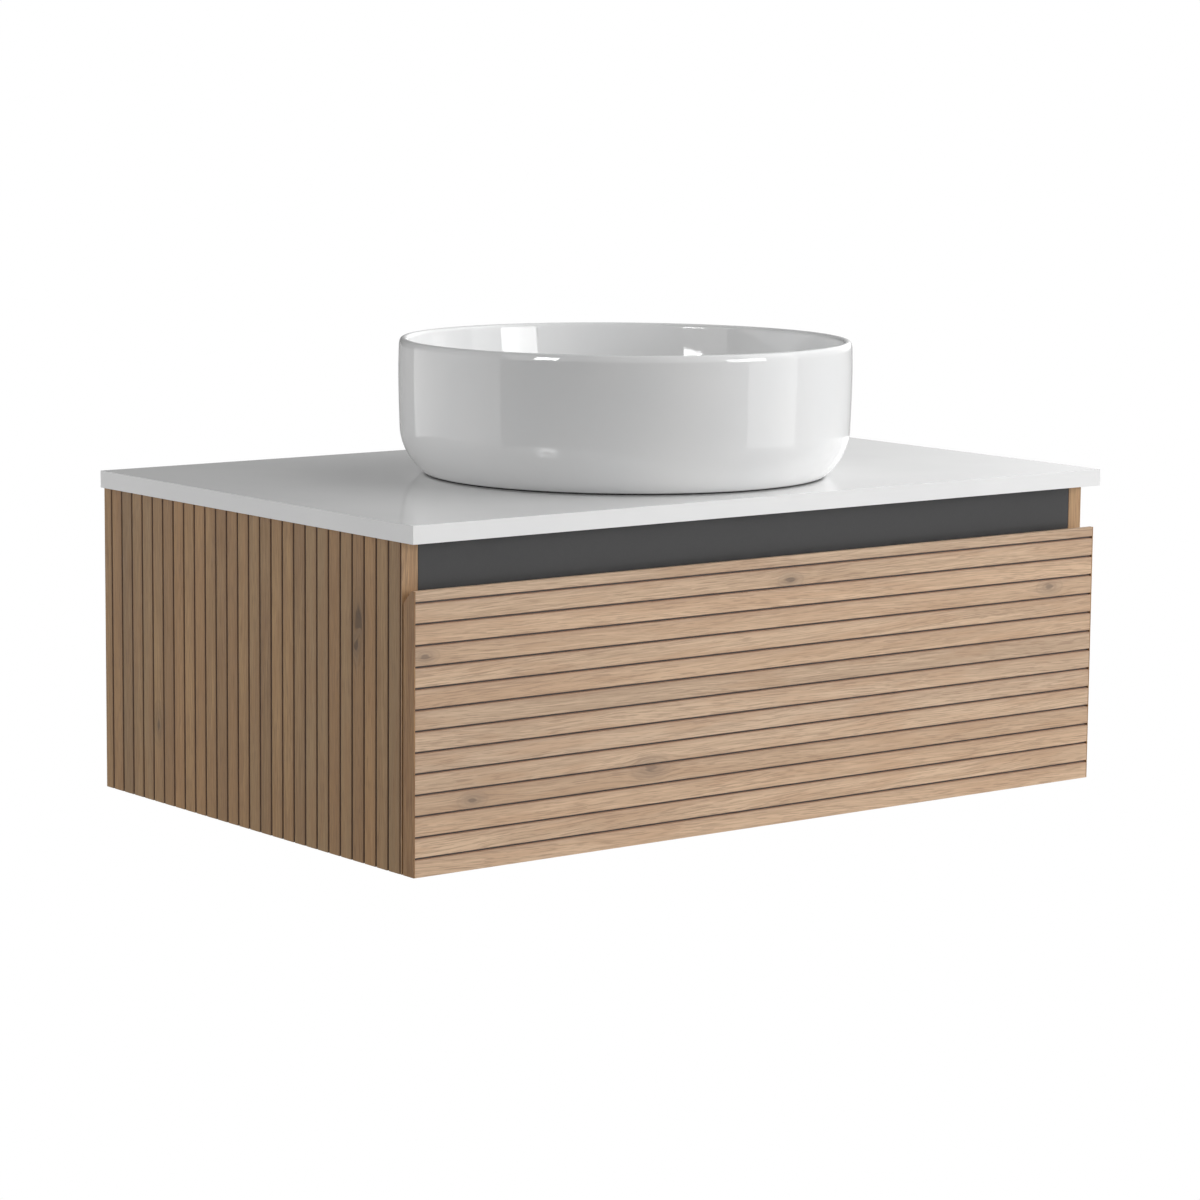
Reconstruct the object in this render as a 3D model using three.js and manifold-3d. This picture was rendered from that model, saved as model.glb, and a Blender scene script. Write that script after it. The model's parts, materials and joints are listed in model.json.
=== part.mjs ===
// Wall-hung bathroom vanity with one drawer, a thin worktop and a round vessel basin.
//
// Millimetres, +Z up. The origin lies on the wall plane at the centre of the wall rail's back
// face; -Y points into the room and +X to the right of someone who stands in front of it.

import * as THREE from "three";
import { mergeVertices } from "three/addons/utils/BufferGeometryUtils.js";
import Module from "manifold-3d";

const wasm = await Module();
wasm.setup();

// ---------- driving dimensions ----------

const GAP = 0.3; // between pieces that touch
const GLUE = 0.1; // between a board and its glued edge band
const BOARD = 16; // worktop, carcass boards and drawer front
const BOX_BOARD = 12; // boards of the drawer box

const WIDTH = 800; // over the side panels
const TOP_WIDTH = 808;
const TOP_DEPTH = 510;
const TOP_EDGE = 0.8; // eased edge of the worktop
const TOP_OVERHANG = 3.5; // past the drawer front
const TOP_UNDERSIDE = 30; // height of the worktop's underside above the origin
const TOP_SHADOW = 0.8; // sealant gap under the worktop
const CARCASS_HEIGHT = 286;
const CLOSING_GAP = 2; // between the drawer front and the carcass

const SIDE_PITCH = 18.2;
const FRONT_PITCH = 18.3;
const GROOVE_MOUTH = 2.6;
const GROOVE_FLOOR = 1.0;
const GROOVE_DEPTH = 2.2;
const SIDE_GROOVES = 27;
const SIDE_FIRST_GROOVE = 2.3; // from the carcass's front edge to the first groove's middle
const FRONT_GROOVES = 13;
const FRONT_FIRST_GROOVE = 10; // below the drawer front's top edge
const SIDE_BAND = 1.5;
const FRONT_BAND = 1;

const FRONT_HEIGHT = 245.7;
const FRONT_FLAT = 4.5; // flat of the front's top edge, before the finger bevel
const RAIL_HEIGHT = 44;

const BOX_HEIGHT = 138;
const BOX_RISE = 14; // drawer box above the bottom panel
const BOTTOM_RISE = 4; // drawer's bottom board above the foot of its sides
const BOX_BACK = -40;
const RUNNER_SPACE = 12.7;
const RUNNER_DROP = 180; // runner's middle below the worktop's underside
const RUNNER_LENGTH = 450;
const RECESS_HALF = 75; // clear half width of the recess round the trap
const RECESS_FRONT = -350;
const BOTTOM_BOARD = 8;

const BACK_RAIL = [-34, -18]; // front and back of the two rear rails
const REAR_TOP_RAIL = [-37, 16]; // below the hooks' arms and above the waste pipe
const REAR_BOTTOM_RAIL_HEIGHT = 60;
const BASIN_FROM_FRONT = 228; // basin's middle behind the worktop's front edge
const BASIN_HEIGHT = 127;
const SCREW_STEPS = 12;

// ---------- places worked out from them ----------

const HALF = WIDTH / 2;
const INNER = HALF - BOARD; // inner face of a side panel
const TOP_UPPER = TOP_UNDERSIDE + BOARD;
const CARCASS_TOP = TOP_UNDERSIDE - TOP_SHADOW;
const CARCASS_BOTTOM = TOP_UNDERSIDE - CARCASS_HEIGHT;
const CARCASS_FLOOR = CARCASS_BOTTOM + BOARD;
const FRONT_FACE = -TOP_DEPTH + TOP_OVERHANG;
const FRONT_BACK = FRONT_FACE + BOARD;
const CARCASS_FRONT = FRONT_BACK + CLOSING_GAP;
const FRONT_TOP = CARCASS_BOTTOM + FRONT_HEIGHT;
const BASIN_Y = -TOP_DEPTH + BASIN_FROM_FRONT;

const BOX_OUTER = INNER - RUNNER_SPACE;
const BOX_INNER = BOX_OUTER - BOX_BOARD;
const BOX_FRONT = FRONT_BACK + GAP;
const BOX_BOTTOM = CARCASS_FLOOR + BOX_RISE;
const BOX_TOP = BOX_BOTTOM + BOX_HEIGHT;
const BOX_FLOOR = BOX_BOTTOM + BOTTOM_RISE + BOTTOM_BOARD; // upper face of the drawer's bottom board

// ---------- materials ----------

function material(color, roughness, metalness = 0) {
  return new THREE.MeshStandardMaterial({ color, roughness, metalness });
}

const oak = material(0xb08f6c, 0.6);
const oakEdge = material(0xb59670, 0.6);
const whiteBoard = material(0xececec, 0.35);
const anthracite = material(0x4b4b4d, 0.7);
const greyBoard = material(0x6a6a6c, 0.7);
const glaze = material(0xf2f2f2, 0.08);
const zinc = material(0xb9bcc0, 0.4, 0.9);
const chrome = material(0xd8dadd, 0.12, 1);
const rubber = material(0x1e1e1f, 0.85);
const blackPlastic = material(0x2c2c2e, 0.6);

const vanity = new THREE.Group();

function add(name, geometry, look) {
  const mesh = new THREE.Mesh(geometry, look);
  mesh.name = name;
  vanity.add(mesh);
}

// Each piece that the vanity has on both sides is made by make(side), with side -1 on the left.
function addPair(name, make, look) {
  add(`${name}_left`, make(-1), look);
  add(`${name}_right`, make(1), look);
}

// ---------- shapes ----------

function box(x0, x1, y0, y1, z0, z1) {
  const geometry = new THREE.BoxGeometry(Math.abs(x1 - x0), y1 - y0, z1 - z0);
  return geometry.translate((x0 + x1) / 2, (y0 + y1) / 2, (z0 + z1) / 2);
}

// Turns shape space (outline in x and y, depth along z) so that the depth runs along an axis.
const ALONG = {
  x: new THREE.Matrix4().set(0, 0, 1, 0, 1, 0, 0, 0, 0, 1, 0, 0, 0, 0, 0, 1),
  y: new THREE.Matrix4().set(0, 1, 0, 0, 0, 0, 1, 0, 1, 0, 0, 0, 0, 0, 0, 1),
  z: new THREE.Matrix4(),
};

// A straight prism. The outline's points are [y, z], [x, z] or [x, y] for the axis x, y or z.
function prism(axis, outline, from, to, holes = []) {
  const flip = ([a, b]) => (axis === "y" ? new THREE.Vector2(b, a) : new THREE.Vector2(a, b));
  const shape = new THREE.Shape(outline.map(flip));
  shape.holes = holes.map((hole) => new THREE.Path(hole.map(flip)));
  const geometry = new THREE.ExtrudeGeometry(shape, { depth: to - from, bevelEnabled: false });
  return geometry.translate(0, 0, from).applyMatrix4(ALONG[axis]);
}

function circle(radius, steps, x = 0, y = 0) {
  return Array.from({ length: steps }, (_, i) => {
    const turn = (2 * Math.PI * i) / steps;
    return [x + radius * Math.cos(turn), y + radius * Math.sin(turn)];
  });
}

// Points of an arc, in degrees from the outline's first axis.
function arc(x, y, radius, from, to, steps) {
  return Array.from({ length: steps + 1 }, (_, i) => {
    const turn = THREE.MathUtils.degToRad(from + ((to - from) * i) / steps);
    return [x + radius * Math.cos(turn), y + radius * Math.sin(turn)];
  });
}

function closed(section) {
  return [...section, section[0]];
}

// A solid of revolution about a vertical axis at the basin's middle, from [radius, height]
// points that run anticlockwise round the section; heights are above the worktop.
function turned(section, steps) {
  const points = section.map(([r, z]) => new THREE.Vector2(r, z));
  const geometry = new THREE.LatheGeometry(points, steps);
  return geometry.rotateX(Math.PI / 2).translate(0, BASIN_Y, TOP_UPPER);
}

// A solid of revolution about a level axis that runs to the wall, from [radius, y] points.
function turnedLevel(section, x, z, steps) {
  const points = section.map(([r, y]) => new THREE.Vector2(r, y));
  return new THREE.LatheGeometry(points, steps).translate(x, 0, z);
}

// A screw along Y, from its tip to the underside of its head, then the head's [radius, rise].
function screw(shank, tip, under, head, x, z) {
  const away = Math.sign(under - tip);
  const section = [[0, tip], [shank, tip], [shank, under]];
  head.forEach(([radius, rise]) => section.push([radius, under + away * rise]));
  if (away < 0) section.reverse();
  return turnedLevel(section, x, z, SCREW_STEPS);
}

// ---------- cuts and joins ----------

function solid(geometry) {
  const bare = new THREE.BufferGeometry();
  const source = geometry.index ? geometry.toNonIndexed() : geometry;
  bare.setAttribute("position", source.getAttribute("position"));
  const merged = mergeVertices(bare, 1e-3);
  const vertProperties = merged.attributes.position.array;
  const triVerts = new Uint32Array(merged.index.array);
  return new wasm.Manifold(new wasm.Mesh({ numProp: 3, vertProperties, triVerts }));
}

function geometryOf(manifold) {
  const mesh = manifold.getMesh();
  const geometry = new THREE.BufferGeometry();
  geometry.setAttribute("position", new THREE.BufferAttribute(mesh.vertProperties, 3));
  geometry.setIndex(new THREE.BufferAttribute(mesh.triVerts, 1));
  geometry.computeVertexNormals();
  return geometry;
}

function cut(geometry, ...tools) {
  return geometryOf(tools.reduce((left, tool) => left.subtract(solid(tool)), solid(geometry)));
}

function join(...geometries) {
  const [first, ...rest] = geometries.map(solid);
  return geometryOf(rest.reduce((whole, piece) => whole.add(piece), first));
}

// ---------- carcass ----------

// One groove's four corners, for a face at depth 0 that looks towards +depth.
function groove(middle) {
  return [
    [middle - GROOVE_MOUTH / 2, 0],
    [middle - GROOVE_FLOOR / 2, -GROOVE_DEPTH],
    [middle + GROOVE_FLOOR / 2, -GROOVE_DEPTH],
    [middle + GROOVE_MOUTH / 2, 0],
  ];
}

// The first groove opens on to the edge band, so the band's back is its front wall.
function sidePanel(side) {
  const front = SIDE_BAND + GLUE;
  const start = SIDE_FIRST_GROOVE + GROOVE_FLOOR / 2;
  const face = [
    [front, -GROOVE_DEPTH],
    [start, -GROOVE_DEPTH],
    [SIDE_FIRST_GROOVE + GROOVE_MOUTH / 2, 0],
  ];
  for (let i = 1; i < SIDE_GROOVES; i++) face.push(...groove(SIDE_FIRST_GROOVE + i * SIDE_PITCH));
  face.push([-CARCASS_FRONT, 0], [-CARCASS_FRONT, -BOARD], [front, -BOARD]);
  const outline = face.map(([back, out]) => [side * (HALF + out), CARCASS_FRONT + back]);
  return prism("z", outline, CARCASS_BOTTOM, CARCASS_TOP);
}

function sideBand(side) {
  const back = CARCASS_FRONT + SIDE_BAND;
  return box(side * INNER, side * HALF, CARCASS_FRONT, back, CARCASS_BOTTOM, CARCASS_TOP);
}

function bottomPanel() {
  const x = INNER - GAP;
  return box(-x, x, CARCASS_FRONT, BACK_RAIL[1], CARCASS_BOTTOM, CARCASS_FLOOR);
}

function frontRail() {
  const x = INNER - GAP;
  return box(-x, x, CARCASS_FRONT, CARCASS_FRONT + BOARD, CARCASS_TOP - RAIL_HEIGHT, CARCASS_TOP);
}

function rearRail(bottom, top) {
  const x = INNER - GAP;
  return box(-x, x, ...BACK_RAIL, bottom, top);
}

addPair("side_panel", sidePanel, oak);
addPair("side_edge_band", sideBand, oakEdge);
add("bottom_panel", bottomPanel(), oak);
add("front_rail", frontRail(), anthracite);
add("rear_top_rail", rearRail(...REAR_TOP_RAIL), oak);
const rearFoot = CARCASS_FLOOR + GAP;
add("rear_bottom_rail", rearRail(rearFoot, rearFoot + REAR_BOTTOM_RAIL_HEIGHT), oak);

// ---------- worktop ----------

const WORKTOP_HOLE = 23; // radius of the waste's hole
const WORKTOP_HOLE_STEPS = 32;

function worktop() {
  const x = TOP_WIDTH / 2 - TOP_EDGE;
  const shape = new THREE.Shape([
    new THREE.Vector2(-x, -TOP_DEPTH + TOP_EDGE),
    new THREE.Vector2(x, -TOP_DEPTH + TOP_EDGE),
    new THREE.Vector2(x, -TOP_EDGE),
    new THREE.Vector2(-x, -TOP_EDGE),
  ]);
  const slab = new THREE.ExtrudeGeometry(shape, {
    depth: BOARD - 2 * TOP_EDGE,
    bevelThickness: TOP_EDGE,
    bevelSize: TOP_EDGE,
    bevelSegments: 1,
  }).translate(0, 0, TOP_UNDERSIDE + TOP_EDGE);
  const hole = circle(WORKTOP_HOLE, WORKTOP_HOLE_STEPS, 0, BASIN_Y);
  return cut(slab, prism("z", hole, TOP_UNDERSIDE - 1, TOP_UPPER + 1));
}

const BRACKET_LEG = 30;
const BRACKET_SHEET = 2;
const BRACKET_WIDTH = 20;
const BRACKET_ROWS = [-430, -140];

function worktopBracket(side, y) {
  const wall = INNER - GAP;
  const top = TOP_UNDERSIDE - GAP;
  const outline = [
    [wall, top],
    [wall, top - BRACKET_LEG],
    [wall - BRACKET_SHEET, top - BRACKET_LEG],
    [wall - BRACKET_SHEET, top - BRACKET_SHEET],
    [wall - BRACKET_LEG, top - BRACKET_SHEET],
    [wall - BRACKET_LEG, top],
  ].map(([x, z]) => [side * x, z]);
  return prism("y", outline, y - BRACKET_WIDTH / 2, y + BRACKET_WIDTH / 2);
}

add("worktop", worktop(), whiteBoard);
BRACKET_ROWS.forEach((y, row) => {
  add(`worktop_bracket_${2 * row + 1}`, worktopBracket(-1, y), zinc);
  add(`worktop_bracket_${2 * row + 2}`, worktopBracket(1, y), zinc);
});

// ---------- wall fixing ----------

const WALL_RAIL_HALF = [380, 20]; // half its length and height
const RAIL_SHEET = 2;
const RAIL_REACH = 9; // how far the rail stands off the wall
const RAIL_STEP = 8; // height at which the rail steps away from the wall
const WALL_SCREWS = [-330, -110, 110, 330];
const WALL_SCREW_Z = -8;
const WALL_SCREW_HOLE = 3;
const WALL_SCREW_HEAD = [[5.5, 0], [5.5, 1.5], [3.5, 3], [0, 3]];

const HOOK_X = 375;
const HOOK_WIDTH = 10;
const HOOK_SHEET = 2.5;
const HOOK_Y = [-76, -5.5]; // front end of the arm and front face of the lip
const HOOK_Z = [12, 21]; // tip of the lip and underside of the arm
const HANGER_X = [366.7, INNER - GAP];
const HANGER_Y = [-84, -36];
const HANGER_Z = [-32, 26];
const HANGER_WALL = 2.8;

// A channel that opens upwards: the hooks drop in between its lip and the wall.
function wallRail() {
  const [length, height] = WALL_RAIL_HALF;
  const outline = [
    [0, -height],
    [0, height],
    [-RAIL_SHEET, height],
    [-RAIL_SHEET, RAIL_STEP + RAIL_SHEET],
    [RAIL_SHEET - RAIL_REACH, RAIL_STEP + RAIL_SHEET],
    [RAIL_SHEET - RAIL_REACH, height],
    [-RAIL_REACH, height],
    [-RAIL_REACH, RAIL_STEP],
    [-RAIL_SHEET, RAIL_STEP],
    [-RAIL_SHEET, -height],
  ];
  const holes = WALL_SCREWS.map((x) => {
    const hole = circle(WALL_SCREW_HOLE, SCREW_STEPS, x, WALL_SCREW_Z);
    return prism("y", hole, -2 * RAIL_SHEET, RAIL_SHEET);
  });
  return cut(prism("x", outline, -length, length), ...holes);
}

function wallScrew(x) {
  const shank = WALL_SCREW_HOLE - GAP;
  return screw(shank, 0, -RAIL_SHEET - GAP, WALL_SCREW_HEAD, x, WALL_SCREW_Z);
}

// The hook's arm lies in the hanger's channel and its lip hangs behind the rail's lip.
function hangerHook(side) {
  const [front, lip] = HOOK_Y;
  const [tip, arm] = HOOK_Z;
  const outline = [
    [front, arm],
    [lip, arm],
    [lip, tip],
    [lip + HOOK_SHEET, tip],
    [lip + HOOK_SHEET, arm + HOOK_SHEET],
    [front, arm + HOOK_SHEET],
  ];
  const edges = [side * HOOK_X - HOOK_WIDTH / 2, side * HOOK_X + HOOK_WIDTH / 2];
  return prism("x", outline, ...edges);
}

function hanger(side) {
  const [inside, outside] = HANGER_X;
  const [bottom, top] = HANGER_Z;
  const floor = HOOK_Z[1] - GAP;
  const outline = [
    [inside, bottom],
    [outside, bottom],
    [outside, top],
    [outside - HANGER_WALL, top],
    [outside - HANGER_WALL, floor],
    [inside + HANGER_WALL, floor],
    [inside + HANGER_WALL, top],
    [inside, top],
  ].map(([x, z]) => [side * x, z]);
  return prism("y", outline, ...HANGER_Y);
}

addPair("hanger", hanger, blackPlastic);
addPair("hanger_hook", hangerHook, zinc);
add("wall_rail", wallRail(), zinc);
WALL_SCREWS.forEach((x, i) => add(`wall_screw_${i + 1}`, wallScrew(x), zinc));

// ---------- drawer runners ----------

// Channel sections of a three-member ball runner; x is measured out from the drawer's side.
const RUNNER_SHEET = 1.2;
const RUNNER_Z = TOP_UNDERSIDE - RUNNER_DROP;
const RUNNER_FROM = CARCASS_FRONT + 2.5;
const MIDDLE_SHORTER = 10;
const RUNNER_MEMBERS = {
  cabinet: { web: 11.2, tip: 3.2, half: 22.5, from: RUNNER_FROM, length: RUNNER_LENGTH },
  middle: { web: 9.3, tip: 2, half: 18.2, from: RUNNER_FROM + 4, length: RUNNER_LENGTH - MIDDLE_SHORTER },
  drawer: { web: GAP, tip: 8.5, half: 13.8, from: RUNNER_FROM, length: RUNNER_LENGTH },
};

function runner(member, side) {
  const { web, tip, half, from, length } = RUNNER_MEMBERS[member];
  const webInner = tip > web ? web + RUNNER_SHEET : web;
  const webOuter = tip > web ? web : web + RUNNER_SHEET;
  const outline = [
    [webOuter, -half],
    [webOuter, half],
    [tip, half],
    [tip, half - RUNNER_SHEET],
    [webInner, half - RUNNER_SHEET],
    [webInner, RUNNER_SHEET - half],
    [tip, RUNNER_SHEET - half],
    [tip, -half],
  ].map(([x, z]) => [side * (BOX_OUTER + x), RUNNER_Z + z]);
  return prism("y", outline, from, from + length);
}

for (const member of Object.keys(RUNNER_MEMBERS)) {
  addPair(`runner_${member}`, (side) => runner(member, side), zinc);
}

// ---------- drawer ----------

const DRAWER_SCREW = 2.3;
const DRAWER_SCREW_HOLE = DRAWER_SCREW + GAP;
const DRAWER_SCREW_REACH = 8; // into the drawer front
const DRAWER_SCREW_HEAD = [[4.5, 0], [4.2, 1.6], [2.5, 2.4], [0, 2.4]];
const DRAWER_SCREWS = [
  [-250, -190],
  [250, -190],
  [-250, -115],
  [250, -115],
];

// The front's section, [y, z], without its grooves: a board with a finger bevel at the back.
const BEVEL = BOARD - FRONT_FLAT;
const FRONT_SECTION_BACK = [
  [FRONT_BACK, CARCASS_BOTTOM],
  [FRONT_BACK, FRONT_TOP - BEVEL],
  [FRONT_FACE + FRONT_FLAT, FRONT_TOP],
];

function screwHole([x, z]) {
  const tip = FRONT_BACK - DRAWER_SCREW_REACH - GAP;
  const hole = circle(DRAWER_SCREW_HOLE, SCREW_STEPS, x, z);
  return prism("y", hole, tip, BOX_FRONT + BOX_BOARD + GAP);
}

function drawerFront() {
  const outline = [...FRONT_SECTION_BACK, [FRONT_FACE, FRONT_TOP]];
  for (let i = 0; i < FRONT_GROOVES; i++) {
    const down = FRONT_FIRST_GROOVE + i * FRONT_PITCH;
    outline.push(...groove(down).map(([z, depth]) => [FRONT_FACE - depth, FRONT_TOP - z]));
  }
  outline.push([FRONT_FACE, CARCASS_BOTTOM]);
  const x = HALF - FRONT_BAND - GLUE;
  return cut(prism("x", outline, -x, x), ...DRAWER_SCREWS.map(screwHole));
}

function drawerFrontBand(side) {
  const outline = [...FRONT_SECTION_BACK, [FRONT_FACE, FRONT_TOP], [FRONT_FACE, CARCASS_BOTTOM]];
  const edges = [side * (HALF - FRONT_BAND), side * HALF].sort((a, b) => a - b);
  return prism("x", outline, ...edges);
}

function drawerInnerFront() {
  const x = BOX_INNER - GAP;
  const board = box(-x, x, BOX_FRONT, BOX_FRONT + BOX_BOARD, BOX_BOTTOM, BOX_TOP);
  return cut(board, ...DRAWER_SCREWS.map(screwHole));
}

function drawerScrew([x, z]) {
  const tip = FRONT_BACK - DRAWER_SCREW_REACH;
  return screw(DRAWER_SCREW, tip, BOX_FRONT + BOX_BOARD + GAP, DRAWER_SCREW_HEAD, x, z);
}

function drawerSide(side) {
  return box(side * BOX_INNER, side * BOX_OUTER, BOX_FRONT, BOX_BACK, BOX_BOTTOM, BOX_TOP);
}

// The bottom board, notched from behind for the trap.
function drawerBottom() {
  const x = BOX_INNER - GAP;
  const front = BOX_FRONT + BOX_BOARD + GAP;
  const outline = [
    [-x, front],
    [x, front],
    [x, BOX_BACK],
    [RECESS_HALF, BOX_BACK],
    [RECESS_HALF, RECESS_FRONT],
    [-RECESS_HALF, RECESS_FRONT],
    [-RECESS_HALF, BOX_BACK],
    [-x, BOX_BACK],
  ];
  return prism("z", outline, BOX_FLOOR - BOTTOM_BOARD, BOX_FLOOR);
}

const RECESS_OUTER = RECESS_HALF + BOX_BOARD;
const WALL_FOOT = BOX_FLOOR + GAP;

function drawerBack(side) {
  const x = [side * (RECESS_OUTER + GAP), side * (BOX_INNER - GAP)];
  return box(...x, BOX_BACK - BOX_BOARD, BOX_BACK, WALL_FOOT, BOX_TOP);
}

function recessSide(side) {
  const x = [side * RECESS_HALF, side * RECESS_OUTER];
  return box(...x, RECESS_FRONT + GAP, BOX_BACK, WALL_FOOT, BOX_TOP);
}

function recessFront() {
  const front = RECESS_FRONT - BOX_BOARD;
  return box(-RECESS_OUTER, RECESS_OUTER, front, RECESS_FRONT, WALL_FOOT, BOX_TOP);
}

add("drawer_front", drawerFront(), oak);
addPair("drawer_front_band", drawerFrontBand, oakEdge);
add("drawer_inner_front", drawerInnerFront(), greyBoard);
addPair("drawer_side", drawerSide, greyBoard);
addPair("drawer_back", drawerBack, greyBoard);
addPair("drawer_recess", recessSide, greyBoard);
add("drawer_recess_front", recessFront(), greyBoard);
add("drawer_bottom", drawerBottom(), greyBoard);
DRAWER_SCREWS.forEach((place, i) => add(`drawer_screw_${i + 1}`, drawerScrew(place), zinc));

// ---------- basin ----------

const BASIN_STEPS = 48;
const FOOT = 1.4; // underside of the foot ring, above the worktop
const FOOT_INNER = 170;
const FOOT_CORNER = 57; // radius of the outside curve from the foot to the wall
const WALL_FOOT_AT = [212.4, 46.4]; // radius and height where that curve meets the wall
const OUTER_WALL = [[213.3, 72], [213.9, 98], [213.6, 112]];
const RIM = 4; // radius of the rounded rim
const RIM_MIDDLE = 209.2;
const INNER_WALL = [[203.8, 103], [201.3, 85], [199.4, 75]];
const BOWL_CORNER = 62; // radius of the inside curve from the wall to the floor
const BOWL_CORNER_AT = [136.8, 79.6];
const BOWL_CORNER_START = -14; // degrees
const BOWL_FLOOR = [[90, 15.4], [36, 13.2]];
const DRAIN_RECESS = [34, 11]; // radius and floor height of the seat round the drain
const DRAIN_HOLE = 23.5;
const UNDERSIDE = [[44, FOOT + 1], [48, 7], [164, 7]]; // hollow under the bowl's floor
const SEAL_RING = [184, 189];

// Heights are above the worktop. The section starts at the foot's inner edge.
function basin() {
  const [wallRadius, wallFoot] = WALL_FOOT_AT;
  const start = -THREE.MathUtils.radToDeg(Math.asin((wallFoot - FOOT) / FOOT_CORNER));
  const section = [
    [FOOT_INNER, FOOT],
    ...arc(wallRadius - FOOT_CORNER, wallFoot, FOOT_CORNER, start, 0, 5),
    ...OUTER_WALL,
    ...arc(RIM_MIDDLE, BASIN_HEIGHT - RIM, RIM, 0, 180, 6),
    ...INNER_WALL,
    ...arc(...BOWL_CORNER_AT, BOWL_CORNER, BOWL_CORNER_START, -90, 6),
    ...BOWL_FLOOR,
    DRAIN_RECESS,
    [DRAIN_HOLE, DRAIN_RECESS[1]],
    [DRAIN_HOLE, FOOT + 1],
    ...UNDERSIDE,
  ];
  return turned(closed(section), BASIN_STEPS);
}

function basinSeal() {
  const [inside, outside] = SEAL_RING;
  const section = [
    [inside, GAP],
    [outside, GAP],
    [outside, FOOT - GAP],
    [inside, FOOT - GAP],
  ];
  return turned(closed(section), BASIN_STEPS);
}

add("basin", basin(), glaze);
add("basin_seal", basinSeal(), rubber);

// ---------- waste, set in the basin's drain ----------

const ROUND = 24; // steps round the small turned pieces
const TAIL = 21; // outer radius of the threaded tail
const TAIL_BORE = 18;
const TAIL_END = -62;
const FLANGE = { outside: 32.5, rise: 2.5, chamfer: 1, inside: 28.5, funnel: 3 };
const CARTRIDGE = { half: 4, ring: 2.2, sleeve: [4, 6.5], sleeveZ: [-22, 7], spoke: [11, 2.4, 6] };
const PLUG_STEM = [3.5, -16]; // radius and lower end
const PLUG_HUB = [21.5, 13.2]; // radius and underside
const PLUG_CAP = [[30.5, 15.2], [31.4, 16.2], [31, 17.4], [24, 19.2], [12, 20.3], [0, 20.6]];
const PLUG_SEAL = [[21.9, 13.9], [27.2, 13.9], [27.6, 14.4], [27.2, 14.9], [21.9, 14.9]];
const WASHER = { outside: 33, thickness: 3 };
const WASTE_NUT = { corners: 34, height: 10 }; // a hexagon nut under the washer

function wasteBody() {
  const seat = DRAIN_RECESS[1] + GAP;
  const { outside, rise, chamfer, inside, funnel } = FLANGE;
  const section = [
    [TAIL_BORE, TAIL_END],
    [TAIL, TAIL_END],
    [TAIL, seat],
    [outside, seat],
    [outside, seat + rise - chamfer],
    [outside - chamfer, seat + rise],
    [inside, seat + rise],
    [TAIL_BORE, seat - funnel],
  ];
  return turned(closed(section), ROUND);
}

// A section with four corners: radii and heights.
function ring([inside, outside], [bottom, top]) {
  return turned(closed([[inside, bottom], [outside, bottom], [outside, top], [inside, top]]), ROUND);
}

// A ring held in the tail, with three spokes and the sleeve that the plug's stem slides in.
function wasteCartridge() {
  const { half, ring: wall, sleeve, sleeveZ, spoke } = CARTRIDGE;
  const outside = TAIL_BORE - GAP;
  const spokes = [0, 1, 2].map((i) => {
    const turn = (2 * Math.PI * i) / 3 - Math.PI / 2;
    const bar = new THREE.BoxGeometry(...spoke).translate(spoke[0], 0, 0).rotateZ(turn);
    return bar.translate(0, BASIN_Y, TOP_UPPER);
  });
  return join(ring([outside - wall, outside], [-half, half]), ring(sleeve, sleeveZ), ...spokes);
}

function wastePlug() {
  const [stem, end] = PLUG_STEM;
  const [hub, hubFoot] = PLUG_HUB;
  const capFoot = PLUG_CAP[0][1];
  const section = [[0, end], [stem, end], [stem, hubFoot], [hub, hubFoot], [hub, capFoot], ...PLUG_CAP];
  return turned(section, ROUND);
}

function wasteWasher() {
  const top = -BOARD - GAP;
  return ring([TAIL + GAP, WASHER.outside], [top - WASHER.thickness, top]);
}

function wasteNut() {
  const top = TOP_UNDERSIDE - 2 * GAP - WASHER.thickness;
  const hexagon = circle(WASTE_NUT.corners, 6, 0, BASIN_Y);
  return prism("z", hexagon, top - WASTE_NUT.height, top, [circle(TAIL + GAP, ROUND, 0, BASIN_Y)]);
}

add("waste_body", wasteBody(), chrome);
add("waste_cartridge", wasteCartridge(), blackPlastic);
add("waste_plug", wastePlug(), chrome);
add("waste_plug_seal", turned(closed(PLUG_SEAL), ROUND), rubber);
add("waste_washer", wasteWasher(), rubber);
add("waste_nut", wasteNut(), chrome);

// ---------- bottle trap ----------

const PIPE = 16; // outer radius of the trap's tubes
const PIPE_BORE = 14.5;
const SLEEVE = PIPE + GAP; // bore of whatever goes round a tube
const INLET_NUT = { outside: 27, top: -45, lip: -64.9, foot: -67.6, chamfer: 1.5 };
const DIP_TUBE = { end: -172, collar: 20.5, collarFoot: -64.6 };
const HEAD = { outside: 30, bore: 27.5, top: -85, shoulder: 26, roof: -89, end: -137 };
const OUTLET_Z = TOP_UPPER - 103;
const STUB = 19; // outer radius of the outlet stub
const STUB_Y = [BASIN_Y + 10, BASIN_Y + 50];
const CUP = { outside: 33, bore: 27.5, overlap: 10 };
const CUP_FOOT = [[0, -196], [22, -196], [30, -193], [33, -186]];
const CUP_FLOOR = [[27.5, -188], [20, -193], [0, -193]];
const OUTLET_NUT = { outside: 24.5, reach: 14, rim: 3, chamfer: 1.5 };
const OUTLET_PIPE_START = BASIN_Y + 32;
const ROSETTE = [[SLEEVE, -10], [20, -9], [32, -4], [34, 0], [SLEEVE, 0]];

function trapInletNut() {
  const { outside, top, lip, foot, chamfer } = INLET_NUT;
  const section = [
    [SLEEVE, foot],
    [outside - chamfer, foot],
    [outside, foot + chamfer],
    [outside, top],
    [TAIL + GAP, top],
    [TAIL + GAP, lip],
    [SLEEVE, lip],
  ];
  return turned(closed(section), ROUND);
}

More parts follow.
